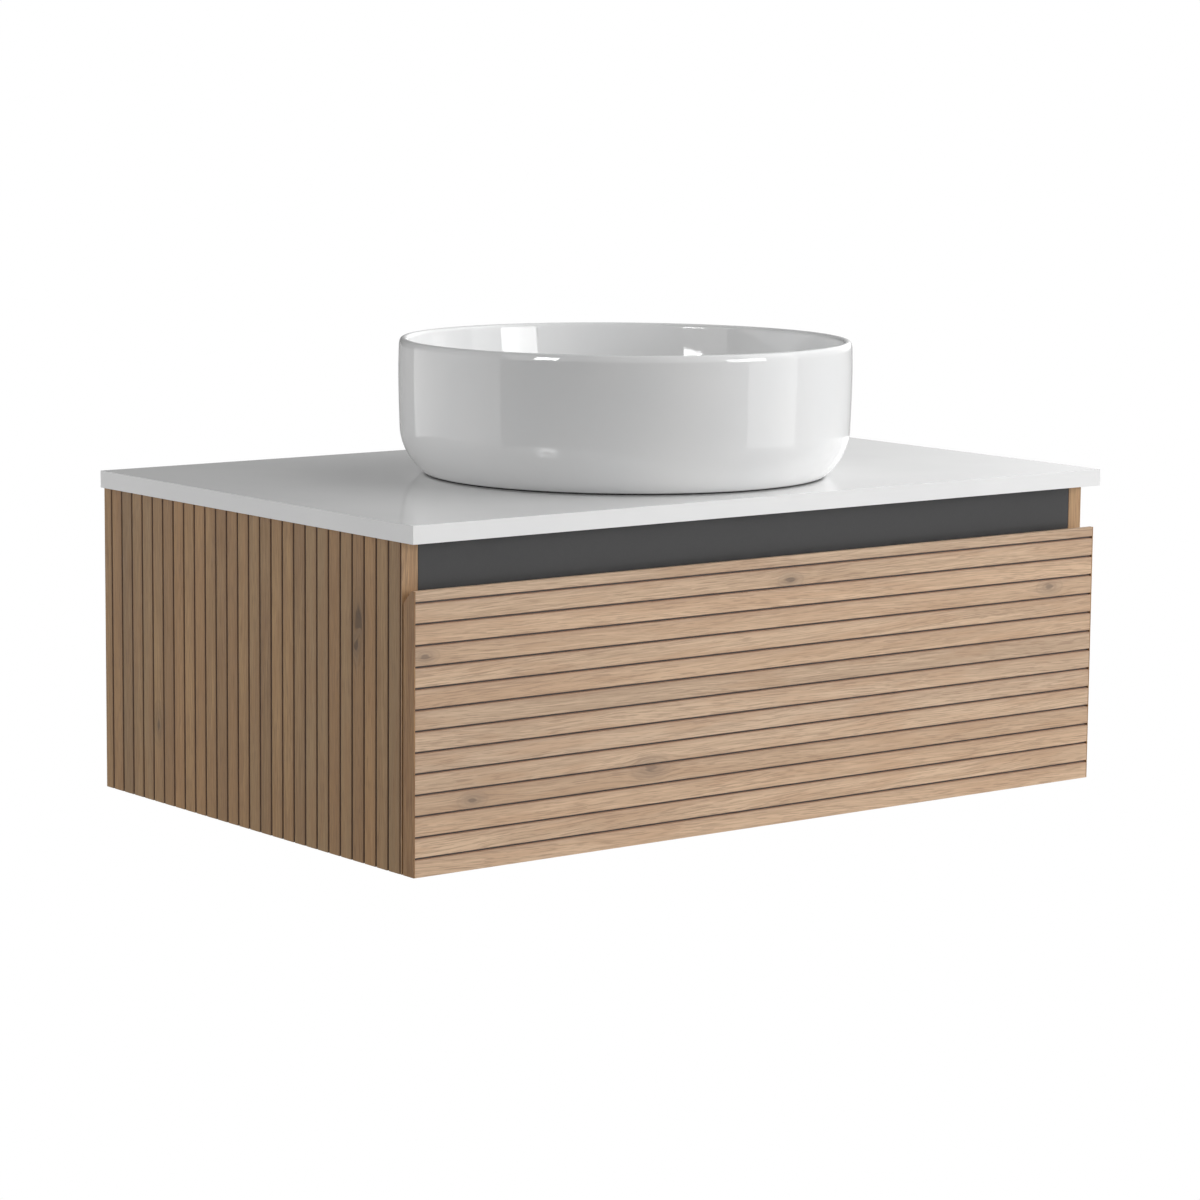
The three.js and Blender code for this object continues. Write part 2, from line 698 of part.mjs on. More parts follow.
function trapDipTube() {
  const top = TAIL_END - GAP;
  const section = [
    [PIPE_BORE, DIP_TUBE.end],
    [PIPE, DIP_TUBE.end],
    [PIPE, DIP_TUBE.collarFoot],
    [DIP_TUBE.collar, DIP_TUBE.collarFoot],
    [DIP_TUBE.collar, top],
    [PIPE_BORE, top],
  ];
  return turned(closed(section), ROUND);
}

function levelCylinder(radius, from, to) {
  return turnedLevel([[0, from], [radius, from], [radius, to], [0, to]], 0, OUTLET_Z, ROUND);
}

function uprightCylinder(radius, bottom, top) {
  return turned([[0, bottom], [radius, bottom], [radius, top], [0, top]], ROUND);
}

function trapHead() {
  const { outside, bore, top, shoulder, roof, end } = HEAD;
  const [from, to] = STUB_Y;
  const dome = [[0, end], [outside, end], [outside, roof], [shoulder, top], [0, top]];
  const whole = join(turned(dome, ROUND), levelCylinder(STUB, from, to));
  const chamber = uprightCylinder(bore, end - 1, roof);
  const neck = uprightCylinder(SLEEVE, roof - 1, top + 1);
  return cut(whole, chamber, neck, levelCylinder(SLEEVE, from, to + 1));
}

function trapCup() {
  const neck = HEAD.outside + GAP;
  const section = [
    ...CUP_FOOT,
    [CUP.outside, HEAD.end + CUP.overlap],
    [neck, HEAD.end + CUP.overlap],
    [neck, HEAD.end - GAP],
    [CUP.bore, HEAD.end - GAP],
    ...CUP_FLOOR,
  ];
  return turned(section, ROUND);
}

function trapOutletNut() {
  const { outside, reach, rim, chamfer } = OUTLET_NUT;
  const end = STUB_Y[1];
  const lip = end + GAP;
  const section = [
    [SLEEVE, lip + rim],
    [SLEEVE, lip],
    [STUB + GAP, lip],
    [STUB + GAP, end - reach],
    [outside, end - reach],
    [outside, lip + rim - chamfer],
    [outside - chamfer, lip + rim],
  ];
  return turnedLevel(closed(section), 0, OUTLET_Z, ROUND);
}

function trapOutletPipe() {
  const from = OUTLET_PIPE_START;
  const section = [[PIPE_BORE, from], [PIPE, from], [PIPE, 0], [PIPE_BORE, 0]];
  return turnedLevel(closed(section), 0, OUTLET_Z, ROUND);
}

add("trap_inlet_nut", trapInletNut(), chrome);
add("trap_dip_tube", trapDipTube(), chrome);
add("trap_head", trapHead(), chrome);
add("trap_cup", trapCup(), chrome);
add("trap_outlet_nut", trapOutletNut(), chrome);
add("trap_outlet_pipe", trapOutletPipe(), chrome);
add("wall_rosette", turnedLevel(closed(ROSETTE), 0, OUTLET_Z, ROUND), chrome);

export default vanity;
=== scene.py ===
import json
import math

import bmesh
import bpy
from mathutils import Matrix, Vector


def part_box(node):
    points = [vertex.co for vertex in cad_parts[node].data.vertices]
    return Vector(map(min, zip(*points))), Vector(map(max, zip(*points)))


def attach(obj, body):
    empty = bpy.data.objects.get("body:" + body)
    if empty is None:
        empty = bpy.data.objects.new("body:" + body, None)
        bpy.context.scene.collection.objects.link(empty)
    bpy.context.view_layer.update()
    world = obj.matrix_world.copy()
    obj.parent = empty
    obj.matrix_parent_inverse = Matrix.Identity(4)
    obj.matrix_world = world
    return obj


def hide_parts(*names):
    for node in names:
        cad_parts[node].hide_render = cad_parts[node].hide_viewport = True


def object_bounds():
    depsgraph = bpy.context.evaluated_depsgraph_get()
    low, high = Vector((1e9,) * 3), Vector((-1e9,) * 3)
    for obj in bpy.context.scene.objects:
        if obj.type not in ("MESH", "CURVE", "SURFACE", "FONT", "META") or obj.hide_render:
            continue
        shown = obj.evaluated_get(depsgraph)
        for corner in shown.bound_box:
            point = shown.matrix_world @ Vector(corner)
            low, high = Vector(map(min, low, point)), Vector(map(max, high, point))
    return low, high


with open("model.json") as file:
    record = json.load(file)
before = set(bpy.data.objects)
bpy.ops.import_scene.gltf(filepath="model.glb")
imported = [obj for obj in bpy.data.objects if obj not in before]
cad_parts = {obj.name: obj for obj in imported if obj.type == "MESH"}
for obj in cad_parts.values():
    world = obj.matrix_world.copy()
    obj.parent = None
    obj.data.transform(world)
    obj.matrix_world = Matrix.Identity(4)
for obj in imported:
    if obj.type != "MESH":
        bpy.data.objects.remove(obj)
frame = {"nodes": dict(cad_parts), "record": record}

CAD_LOW, CAD_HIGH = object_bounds()

# Looks for a wall-hung vanity with a vessel basin. Metres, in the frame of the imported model:
# the origin is on the wall, -Y points into the room and +X to the right of someone facing it.

MM = 0.001

# ---------- camera and stage ----------

CAMERA_AT = (-2.24998, -3.13557, 0.44242)
CAMERA_YAW = math.radians(-37.910)
CAMERA_PITCH = math.radians(-8.122)
CAMERA_ROLL = math.radians(0.519)
CAMERA_LENS = 115.9  # millimetres, as is the sensor's width
SENSOR = 36

FLOOR_DROP = 0.62  # floor below the cabinet's underside
FLOOR_SIZE = 80
FLOOR_TONES = (0.45, 0.45, 0.45), (0.49, 0.49, 0.49)

# ---------- sizes repeated from the design ----------

BOARD = 16 * MM
VENEER = 0.8 * MM
GROOVE_HALVES = (1.35 * MM, 1.6 * MM)  # half a groove's mouth, and where its painted shade ends
SLAT_DEPTH = 3 * MM  # a little more than a groove's depth

FRONT_PITCH = 18.3 * MM  # from one groove to the next
SIDE_PITCH = 18.2 * MM
FRONT_FIRST = 10 * MM  # first groove below the drawer front's top edge
SIDE_FIRST = 2.3 * MM  # first groove behind the side panel's front edge
SIDE_BAND = 1.6 * MM  # the band on a side panel's front edge, with its glue
WORKTOP_EASE = 0.12 * MM
WORKTOP_HOLE = 23 * MM  # radius
BOARD_EASE = 0.35 * MM
SHEET_EASE = 0.2 * MM

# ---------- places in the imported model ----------

BASIN_LOW, BASIN_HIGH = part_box("basin")
TOP_LOW, TOP_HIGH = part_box("worktop")
FRONT_LOW, FRONT_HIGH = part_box("drawer_front")
SIDE_LOW, SIDE_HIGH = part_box("side_panel_left")
OUTLET_LOW, OUTLET_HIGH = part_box("trap_outlet_pipe")
DRAIN = Vector(((BASIN_LOW.x + BASIN_HIGH.x) / 2, (BASIN_LOW.y + BASIN_HIGH.y) / 2, TOP_HIGH.z))
OUTLET = Vector(((OUTLET_LOW.x + OUTLET_HIGH.x) / 2, 0, (OUTLET_LOW.z + OUTLET_HIGH.z) / 2))
SLOTS = {part["node"]: part["material_slot"] for part in frame["record"]["subparts"]}


def make_camera():
    forward = Vector((
        -math.sin(CAMERA_YAW) * math.cos(CAMERA_PITCH),
        math.cos(CAMERA_YAW) * math.cos(CAMERA_PITCH),
        math.sin(CAMERA_PITCH),
    ))
    level = forward.cross(Vector((0, 0, 1))).normalized()
    above = level.cross(forward)
    right = level * math.cos(CAMERA_ROLL) + above * math.sin(CAMERA_ROLL)
    up = above * math.cos(CAMERA_ROLL) - level * math.sin(CAMERA_ROLL)
    data = bpy.data.cameras.new("camera")
    data.lens = CAMERA_LENS
    data.sensor_width = SENSOR
    data.clip_end = 200
    camera = bpy.data.objects.new("camera", data)
    rotation = Matrix((right, up, -forward)).transposed().to_4x4()
    camera.matrix_world = Matrix.Translation(CAMERA_AT) @ rotation
    bpy.context.scene.collection.objects.link(camera)
    bpy.context.scene.camera = camera


# ---------- node trees ----------


class Look:
    """A material made of nodes. Numbers and sockets can be mixed in every call."""

    def __init__(self, name, roughness=0.5, metallic=0.0, ior=1.5):
        self.material = bpy.data.materials.new(name)
        self.material.use_nodes = True
        self.tree = self.material.node_tree
        self.shader = self.tree.nodes["Principled BSDF"]
        self.shader.inputs["Roughness"].default_value = roughness
        self.shader.inputs["Metallic"].default_value = metallic
        self.shader.inputs["IOR"].default_value = ior

    def node(self, kind, inputs=(), **settings):
        """Adds a node. inputs gives values or links by input name or number."""
        made = self.tree.nodes.new(kind)
        for key, value in settings.items():
            setattr(made, key, value)
        for key, value in dict(inputs).items():
            self.feed(made.inputs[key], value)
        return made

    def feed(self, socket, value):
        if isinstance(value, bpy.types.NodeSocket):
            self.tree.links.new(value, socket)
        else:
            socket.default_value = value

    def give(self, name, value):
        self.feed(self.shader.inputs[name], value)

    def place(self):
        return self.node("ShaderNodeTexCoord").outputs["Object"]

    def split(self, vector):
        made = self.node("ShaderNodeSeparateXYZ", {0: vector})
        return {axis: made.outputs[i] for i, axis in enumerate("xyz")}

    def join(self, x, y, z):
        return self.node("ShaderNodeCombineXYZ", {0: x, 1: y, 2: z}).outputs[0]

    def math(self, operation, a, b=0.0):
        return self.node("ShaderNodeMath", {0: a, 1: b}, operation=operation).outputs[0]

    def add(self, a, b):
        return self.math("ADD", a, b)

    def times(self, a, b):
        return self.math("MULTIPLY", a, b)

    def minus(self, a, b):
        return self.math("SUBTRACT", a, b)

    def between(self, value, low, high, to_low=0.0, to_high=1.0):
        """value from low to high becomes to_low to to_high, smoothly and clamped."""
        made = self.node(
            "ShaderNodeMapRange",
            {"Value": value, "From Min": low, "From Max": high, "To Min": to_low, "To Max": to_high},
            interpolation_type="SMOOTHSTEP",
        )
        return made.outputs["Result"]

    def noise(self, vector, scale=1.0, detail=2.0, roughness=0.5):
        made = self.node(
            "ShaderNodeTexNoise",
            {"Vector": vector, "Scale": scale, "Detail": detail, "Roughness": roughness},
        )
        return made.outputs["Fac"]

    def stretched(self, axes, x, y, z):
        """Coordinates scaled by a factor along each axis."""
        return self.join(self.times(axes["x"], x), self.times(axes["y"], y), self.times(axes["z"], z))

    def mix(self, factor, a, b, blend="MIX"):
        made = self.node("ShaderNodeMix", data_type="RGBA", blend_type=blend)
        self.feed(made.inputs["Factor"], factor)
        self.feed(made.inputs["A"], colour(a))
        self.feed(made.inputs["B"], colour(b))
        return made.outputs["Result"]

    def random(self, value):
        """Three random numbers, as x, y and z, for each value."""
        made = self.node("ShaderNodeTexWhiteNoise", {"W": value}, noise_dimensions="1D")
        return self.split(made.outputs["Color"])

    def bump(self, height, distance, strength=0.5):
        inputs = {"Height": height, "Distance": distance, "Strength": strength}
        self.give("Normal", self.node("ShaderNodeBump", inputs).outputs["Normal"])


def colour(value):
    return (*value, 1.0) if isinstance(value, tuple) and len(value) == 3 else value


# ---------- oak ----------

OAK_LIGHT = (0.70, 0.485, 0.305)
OAK_DARK = (0.50, 0.33, 0.20)
OAK_WARM = (0.64, 0.405, 0.235)
OAK_GREY = (0.54, 0.40, 0.285)
OAK_LINE = (0.40, 0.26, 0.155)
OAK_PATCH = (0.53, 0.32, 0.18)
OAK_PORE = (0.27, 0.155, 0.09)
OAK_STAIN = (0.30, 0.215, 0.145)
# Painted shade: the colour that darkens each slat next to a groove.
OAK_PAINTED_SHADE = (0.44, 0.27, 0.17)
CHIP_LIGHT = (0.50, 0.36, 0.22)
CHIP_DARK = (0.22, 0.14, 0.08)
# The grooves' colours are painted shade: a wall darker than the oak, and a floor near black.
FRONT_GROOVE_SHADE = (0.50, 0.30, 0.20), (0.05, 0.04, 0.036), 1.6 * MM  # painted shade on each groove's wall and floor, and the depth where it turns dark
SIDE_GROOVE_SHADE = (0.25, 0.165, 0.11), (0.03, 0.021, 0.017), 0.75 * MM
KNOT = (0.085, 0.052, 0.034)

# The layers of oak's figure: how fine each one's noise is along and across the grain, per metre,
# its detail and roughness, and an offset that sets it apart from the others.
GRAIN = {
    "sway": (6.0, 26.0, 1.0, 0.5, 0.0),  # how the whole figure wanders
    "cloud": (5.0, 48.0, 2.0, 0.5, 0.0),
    "streak": (7.0, 430.0, 3.0, 0.65, 3.0),
    "fibre": (26.0, 1000.0, 2.0, 0.6, 5.0),
    "growth": (2.6, 13.0, 1.0, 0.5, 9.0),  # how the growth lines bend
    "fading": (3.5, 30.0, 1.0, 0.5, 15.0),  # where they fade
    "breaks": (40.0, 500.0, 1.0, 0.5, 18.0),  # where they are broken up
    "crowding": (9.0, 75.0, 1.0, 0.5, 21.0),  # where the pores are dense
    "pores": (50.0, 1250.0, 1.0, 0.5, 27.0),
    "patch": (10.0, 80.0, 2.0, 0.5, 33.0),
}
GRAIN_DEPTH = 240.0  # per metre, into the board
SWAY = 8 * MM
GROWTH_SPACING = 4.4 * MM  # from one growth line to the next
GROWTH_BEND = 34.0  # radians
PATCH_SHARE = 0.45
LINE_SHARE = 0.42
PORE_SHARE = 0.42
# How strongly the painted shade darkens a slat next to a groove.
PAINTED_SHADE_SHARE = 0.42
OAK_BUMP = 0.06 * MM

SLAT_ACROSS = 0.31  # metres between the places in the wood that neighbouring slats come from
SLAT_ALONG = 7.0  # metres over which those places are spread along the grain
SLAT_LEAN = 0.06  # the most that the grain leans from slat to slat
GROOVE_BLUR = 0.6 * MM  # depth over which the painted shade on a groove's floor turns dark

KNOT_SQUEEZE = 0.5  # a knot's width over its length
KNOT_STAIN = 3.0  # the stain's radius over the knot's
KNOT_PUSH = 0.85  # how far a knot pushes the grain aside
KNOT_RINGS = 17.0  # radians from a stain's edge to its middle


def bend_round_knots(look, along, across, knots):
    """Pushes the grain aside at each knot, and says how far a point lies in a stain and a core."""
    bent, stain, core = across, 0.0, 0.0
    for at_along, at_across, radius in knots:
        off_along = look.times(look.minus(along, at_along), KNOT_SQUEEZE)
        off_across = look.minus(across, at_across)
        square = look.add(look.times(off_along, off_along), look.times(off_across, off_across))
        around = look.math("EXPONENT", look.times(square, -1 / (KNOT_STAIN * radius) ** 2))
        inside = look.math("EXPONENT", look.times(square, -1 / radius ** 2))
        bent = look.minus(bent, look.times(look.times(off_across, around), KNOT_PUSH))
        stain = look.math("MAXIMUM", stain, around)
        core = look.math("MAXIMUM", core, inside)
    return bent, stain, core


def chipboard(look, surface):
    """The chips that show where a veneered board was cut, between its two faces."""
    place = look.place()
    chips = look.noise(look.stretched(look.split(place), 700.0, 700.0, 260.0), 1.0, 2.0, 0.7)
    pressed = look.mix(look.between(chips, 0.35, 0.62), CHIP_DARK, CHIP_LIGHT)
    return look.mix(look.between(look.noise(place, 900.0, 1.0), 0.60, 0.68), pressed, surface)


def oak(
    name, along, across, tint, contrast, seed, slats=None, face=None, groove=None, knots=(),
    knot_depth=0.5,
):
    """Oak with its grain along one axis. contrast is how much its tones differ, from slat to
    slat too, and seed sets its figure apart from the other boards'.
    slats is (start, pitch, span) where grooves part it: span is the range, in parts of the
    pitch, over which a slat is given painted shade towards a groove.
    face is (axis, position, sign) of the outer face that the grooves are cut into, and groove
    the painted shade for each groove's wall and floor, as colours, and the depth where it turns dark."""
    look = Look(name, roughness=0.5)
    axes = look.split(look.place())
    depth = axes[next(a for a in "xyz" if a not in (along, across))]
    u, v = axes[along], axes[across]
    v, stain, knot = bend_round_knots(look, u, v, knots)
    hue, light, shade = 0.5, 0.5, 0.0
    if slats:
        start, pitch, painted_shade_span = slats
        axis, position, sign = face
        inside = look.times(look.minus(axes[axis], position), -sign)
        outer = look.math("LESS_THAN", inside, SLAT_DEPTH)
        row = look.times(look.minus(axes[across], start), 1 / pitch)
        number = look.times(look.math("FLOOR", row), outer)
        # Painted shade: each slat darkens towards a groove, on the outer face only.
        shade = look.times(look.between(look.math("FRACT", row), *painted_shade_span), outer)
        chance = look.random(look.add(number, seed + 0.5))
        hue, light = chance["x"], chance["y"]
        lean = look.minus(look.random(look.add(number, seed + 40.5))["x"], 0.5)
        v = look.add(v, look.times(number, SLAT_ACROSS))
        v = look.add(v, look.times(u, look.times(lean, SLAT_LEAN)))
        u = look.add(u, look.times(chance["z"], SLAT_ALONG))
    else:
        v = look.add(v, seed)

    def grain(layer):
        rate_along, rate_across, detail, roughness, offset = GRAIN[layer]
        place = look.join(
            look.add(look.times(u, rate_along), offset),
            look.times(v, rate_across),
            look.times(depth, GRAIN_DEPTH),
        )
        return look.noise(place, 1.0, detail, roughness)

    v = look.add(v, look.times(look.minus(grain("sway"), 0.5), SWAY))
    fibre = grain("fibre")
    wave = look.times(v, 2 * math.pi / GROWTH_SPACING)
    wave = look.add(wave, look.times(grain("growth"), GROWTH_BEND))
    lines = look.between(look.math("SINE", wave), 0.5, 0.98)
    lines = look.times(lines, look.between(grain("fading"), 0.42, 0.62))
    lines = look.times(lines, look.between(grain("breaks"), 0.35, 0.6, 0.4, 1.0))
    crowding = look.between(grain("crowding"), 0.34, 0.60, 0.6, 1.0)
    pores = look.times(look.between(grain("pores"), 0.51, 0.63), crowding)
    patch = look.between(grain("patch"), 0.46, 0.64)

    tone = look.add(look.times(grain("cloud"), 0.30), look.times(grain("streak"), 0.36))
    tone = look.between(look.add(tone, look.times(fibre, 0.34)), 0.44, 0.555)
    surface = look.mix(look.times(tone, 0.6 + 0.3 * contrast), OAK_LIGHT, OAK_DARK)
    surface = look.mix(look.between(hue, 0.5, 1.0, 0.0, 0.9 * contrast), surface, OAK_WARM)
    surface = look.mix(look.between(hue, 0.5, 0.0, 0.0, 0.9 * contrast), surface, OAK_GREY)
    surface = look.mix(look.times(patch, PATCH_SHARE), surface, OAK_PATCH)
    surface = look.mix(look.times(lines, LINE_SHARE), surface, OAK_LINE)
    surface = look.mix(look.times(pores, PORE_SHARE), surface, OAK_PORE)
    if knots:
        ragged = look.add(knot, look.times(look.minus(fibre, 0.5), 2.0))
        rings = look.between(look.math("SINE", look.times(stain, KNOT_RINGS)), 0.2, 1.0)
        rings = look.times(rings, stain)
        surface = look.mix(look.between(stain, 0.1, 1.0, 0.0, 0.45), surface, OAK_STAIN)
        surface = look.mix(look.times(rings, 0.55), surface, OAK_LINE)
        surface = look.mix(look.between(ragged, 0.35, 0.85, 0.0, knot_depth), surface, KNOT)
    # Lays the painted shade next to the grooves.
    surface = look.mix(look.times(shade, PAINTED_SHADE_SHARE), surface, OAK_PAINTED_SHADE)
    level = look.add(look.times(look.minus(light, 0.5), 0.30 * contrast), 1.0)
    red, green, blue = (look.times(level, channel) for channel in tint)
    surface = look.mix(1.0, surface, look.join(red, green, blue), "MULTIPLY")
    if slats:
        # Painted shade in the grooves: a darker colour on each wall, near black on the floor.
        wall, floor, dark_from = groove
        aside = look.math("PINGPONG", row, 0.5)  # from the nearest groove's middle
        carved = look.between(aside, *(half / pitch for half in GROOVE_HALVES), outer, 0.0)
        wall_shade = look.times(look.between(inside, 0.1 * MM, dark_from), carved)
        floor_shade = look.times(look.between(inside, dark_from, dark_from + GROOVE_BLUR), carved)
        surface = look.mix(floor_shade, look.mix(wall_shade, surface, wall), floor)
        rear = look.between(axes["y"], SIDE_HIGH.y - 0.1 * MM, SIDE_HIGH.y)
        within = look.math("MINIMUM", inside, look.minus(BOARD, inside))
        core = look.between(within, VENEER, VENEER + 0.2 * MM)
        surface = look.mix(look.times(rear, core), surface, chipboard(look, surface))
    look.give("Base Color", surface)
    look.give("Roughness", look.between(fibre, 0.2, 0.8, 0.42, 0.62))
    height = look.minus(look.times(fibre, 0.6), look.add(pores, look.times(lines, 0.4)))
    look.bump(height, OAK_BUMP)
    return look.material


# ---------- other looks ----------

FINE_TEXTURE = 0.03 * MM  # height of a surface's texture
BOARD_TEXTURE = 0.04 * MM
BRUSHED_ALONG = 30.0  # how fine the lines are along and across the brushing, per metre
BRUSHED_ACROSS = 2600.0
GLAZE_TONES = (0.845, 0.85, 0.853), (0.872, 0.872, 0.869)
WORKTOP_TONES = (0.85, 0.85, 0.85), (0.875, 0.875, 0.872)


def speckled(name, base, other, scale, roughness, bump=0.0, metallic=0.0, ior=1.5):
    """A surface with fine mottling, an uneven sheen and a slight texture. scale is how fine the
    mottling is, per metre, and bump the texture's height."""
    look = Look(name, roughness, metallic, ior)
    place = look.place()
    fine = look.noise(place, scale, 3.0, 0.6)
    broad = look.noise(place, scale / 14, 2.0, 0.5)
    factor = look.times(look.add(fine, broad), 0.5)
    look.give("Base Color", look.mix(look.between(factor, 0.15, 0.85), base, other))
    look.give("Roughness", look.between(broad, 0.3, 0.7, roughness * 0.9, roughness * 1.12))
    if bump:
        look.bump(look.noise(place, scale, 2.0, 0.5), bump, 1.0)
    return look.material


def brushed(name, base, along, roughness=0.35):
    """Sheet metal with fine lines along one axis."""
    look = Look(name, roughness, 1.0)
    axes = look.split(look.place())
    scales = {axis: BRUSHED_ALONG if axis == along else BRUSHED_ACROSS for axis in "xyz"}
    lines = look.noise(look.stretched(axes, **scales), 1.0, 3.0, 0.6)
    cloud = look.noise(look.place(), 45.0, 2.0, 0.5)
    darker = tuple(0.72 * c for c in base)
    tone = look.add(look.times(lines, 0.6), look.times(cloud, 0.4))
    look.give("Base Color", look.mix(look.between(tone, 0.35, 0.65), darker, base))
    look.give("Roughness", look.between(tone, 0.3, 0.7, roughness + 0.12, roughness - 0.06))
    look.bump(lines, 0.02 * MM)
    return look.material


def glaze_look():
    """White glaze that lies in slow waves, with the finest orange peel."""
    look = Look("glaze", ior=1.52)
    place = look.place()
    flow = look.noise(place, 9.0, 2.0, 0.5)
    peel = look.noise(place, 260.0, 1.0, 0.5)
    look.give("Base Color", look.mix(look.between(flow, 0.3, 0.7), *GLAZE_TONES))
    look.give("Roughness", look.between(flow, 0.3, 0.7, 0.03, 0.05))
    look.bump(look.add(flow, look.times(peel, 0.004)), 0.6 * MM)
    return look.material


def worktop_look():
    """White lacquer, polished but for a very fine pearl."""
    look = Look("worktop_white")
    place = look.place()
    pearl = look.noise(place, 1400.0, 2.0, 0.6)
    cloud = look.noise(place, 7.0, 2.0, 0.5)
    look.give("Base Color", look.mix(look.between(cloud, 0.3, 0.7), *WORKTOP_TONES))
    look.give("Roughness", look.between(cloud, 0.3, 0.7, 0.075, 0.1))
    look.bump(pearl, 0.004 * MM)
    return look.material


# ---------- meshes ----------

BOWL_SHARP = math.radians(40)  # edges that turn by more than this stay sharp
TURNED_SHARP = math.radians(35)
SLAB_SHARP = math.radians(10)

replaced = set()  # CAD nodes that a finer mesh stands for


def finish_mesh(name, mesh, body, node, sharp):
    """Puts a mesh in a CAD node's place, with the look of the node's slot."""
    mesh.materials.append(LOOKS[SLOTS[node]])
    mesh.shade_smooth()
    mesh.set_sharp_from_angle(angle=sharp)
    piece = bpy.data.objects.new(name, mesh)
    bpy.context.scene.collection.objects.link(piece)
    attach(piece, body)
    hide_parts(node)
    replaced.add(node)


def eased(outline, steps=3):
    """A closed outline of (a, b, ease) corners, each rounded off over that length of its sides."""
    points = []
    for i, (a, b, ease) in enumerate(outline):
        here = Vector((a, b))
        if not ease:
            points.append(here)
            continue
        last, following = Vector(outline[i - 1][:2]), Vector(outline[(i + 1) % len(outline)][:2])
        start = here.lerp(last, min(0.45, ease / (last - here).length))
        end = here.lerp(following, min(0.45, ease / (following - here).length))
        for step in range(steps + 1):
            t = step / steps
            points.append(start.lerp(here, t).lerp(here.lerp(end, t), t))
    return points


def spline(points, steps):
    """A smooth line through the points (Catmull-Rom), with its first and last ones included."""
    points = [Vector(p) for p in points]
    padded = [2 * points[0] - points[1], *points, 2 * points[-1] - points[-2]]
    line = []
    for p0, p1, p2, p3 in zip(padded, padded[1:], padded[2:], padded[3:]):
        for step in range(steps):
            t = step / steps
            line.append(0.5 * (
                2 * p1 + (p2 - p0) * t + (2 * p0 - 5 * p1 + 4 * p2 - p3) * t * t
                + (3 * p1 - p0 - 3 * p2 + p3) * t ** 3
            ))
    line.append(points[-1])
    return line


def thread(radius, low, high, pitch, depth):
    """Corners of a threaded wall, going up."""
    corners = []
    for i in range(int((high - low) / pitch)):
        corners += [(radius, low + i * pitch, 0), (radius - depth, low + (i + 0.5) * pitch, 0)]
    return corners


def turned_mesh(section, centre, axis="z", steps=96, closed=True, shape=None, mesh=None):
    """A solid of revolution from (radius, height) points, in millimetres from the centre. An
    open section starts and ends on the axis. shape(radius, height, turn) may change a radius."""
    mesh = mesh or bmesh.new()
    loops = []
    for radius, height in section:
        if radius < 1e-6:
            loops.append([mesh.verts.new(along_axis(0, 0, height, centre, axis))])
            continue
        loop = []
        for i in range(steps):
            turn = 2 * math.pi * i / steps
            here = shape(radius, height, turn) if shape else radius
            x, y = here * math.cos(turn), here * math.sin(turn)
            loop.append(mesh.verts.new(along_axis(x, y, height, centre, axis)))
        loops.append(loop)
    following = loops[1:] + loops[:1] if closed else loops[1:]
    for lower, upper in zip(loops, following):
        for i in range(steps):
            j = (i + 1) % steps
            if len(lower) == 1:
                corners = (lower[0], upper[j], upper[i])
            elif len(upper) == 1:
                corners = (lower[i], lower[j], upper[0])
            else:
                corners = (lower[i], lower[j], upper[j], upper[i])
            mesh.faces.new(corners)
    return mesh


def along_axis(x, y, height, centre, axis):
    point = {"z": (x, y, height), "y": (x, height, y), "x": (height, x, y)}[axis]
    return Vector(centre) + MM * Vector(point)


def mesh_data(name, mesh):
    bmesh.ops.recalc_face_normals(mesh, faces=mesh.faces)
    data = bpy.data.meshes.new(name)
    mesh.to_mesh(data)
    mesh.free()
    return data


def worktop_mesh(steps=64):
    """A slab with eased edges and a round hole for the waste, from its top to its underside."""
    mesh = bmesh.new()
    bmesh.ops.create_cube(mesh, size=1.0)
    size, middle = TOP_HIGH - TOP_LOW, (TOP_HIGH + TOP_LOW) / 2
    for vert in mesh.verts:
        vert.co = middle + Vector(vert.co[i] * size[i] for i in range(3))
    bmesh.ops.bevel(
        mesh, geom=list(mesh.edges), offset=WORKTOP_EASE, segments=3, profile=0.5, affect="EDGES",
        clamp_overlap=True,
    )
    mesh = mesh.copy()  # without the bevel's leavings, which give new faces another order each run
    mesh.normal_update()
    rims = []
    for face in sorted(mesh.faces, key=lambda face: -face.calc_area())[:2]:
        rim = []
        for i in range(steps):
            turn = 2 * math.pi * i / steps
            across = Vector((math.cos(turn), math.sin(turn), 0)) * WORKTOP_HOLE
            rim.append(mesh.verts.new((DRAIN.x + across.x, DRAIN.y + across.y, face.verts[0].co.z)))
        edges = [mesh.edges.new((rim[i - 1], rim[i])) for i in range(steps)] + list(face.edges)
        mesh.faces.remove(face)
        bmesh.ops.triangle_fill(mesh, edges=edges, use_beauty=True)
        rims.append(rim)
    for i in range(steps):
        mesh.faces.new((rims[0][i - 1], rims[0][i], rims[1][i], rims[1][i - 1]))
    return mesh_data("worktop_slab", mesh)


# ---------- basin ----------

# Points are (radius, height above the worktop), in millimetres.
FOOT_RING = [(170.0, 1.4), (186.0, 1.4)]
LOWER_BEND = 57.0  # radius of the outer wall's bend down to the foot
OUTER_WALL = [(212.4, 46.4), (213.2, 70), (213.6, 95), (213.4, 112)]
WALL_TOP = 213.2
RIM_DROP = 7.6  # where the outer wall starts to bend into the rim, below the top
LEAD_IN = 16.0, math.radians(20)  # radius and turn of that bend, before the rim's own rounding
RIM_OUTER = 3.24  # radius of the rim's rounding outside, and inside
RIM_INNER = 4.0
RIM_MIDDLE = 209.2
INNER_WALL = 0.085, 0.000961  # how much the inner wall draws in per millimetre down, and its curve
INNER_WALL_FOOT = 64.6
INNER_WALL_SLOPE = math.radians(11.1)  # at its foot
INNER_BEND = 59.0
BOWL_FLOOR = [(90, 15.2), (37, 13.2), (34.6, 12.4), (34, 11)]
UNDERSIDE = [(23.5, 11), (23.5, 2.4), (44, 2.4), (48, 7), (164, 7)]  # from the waste's seat outwards


def arc(middle, radius, turns):
    x, y = middle
    return [(x + radius * math.cos(turn), y + radius * math.sin(turn)) for turn in turns]


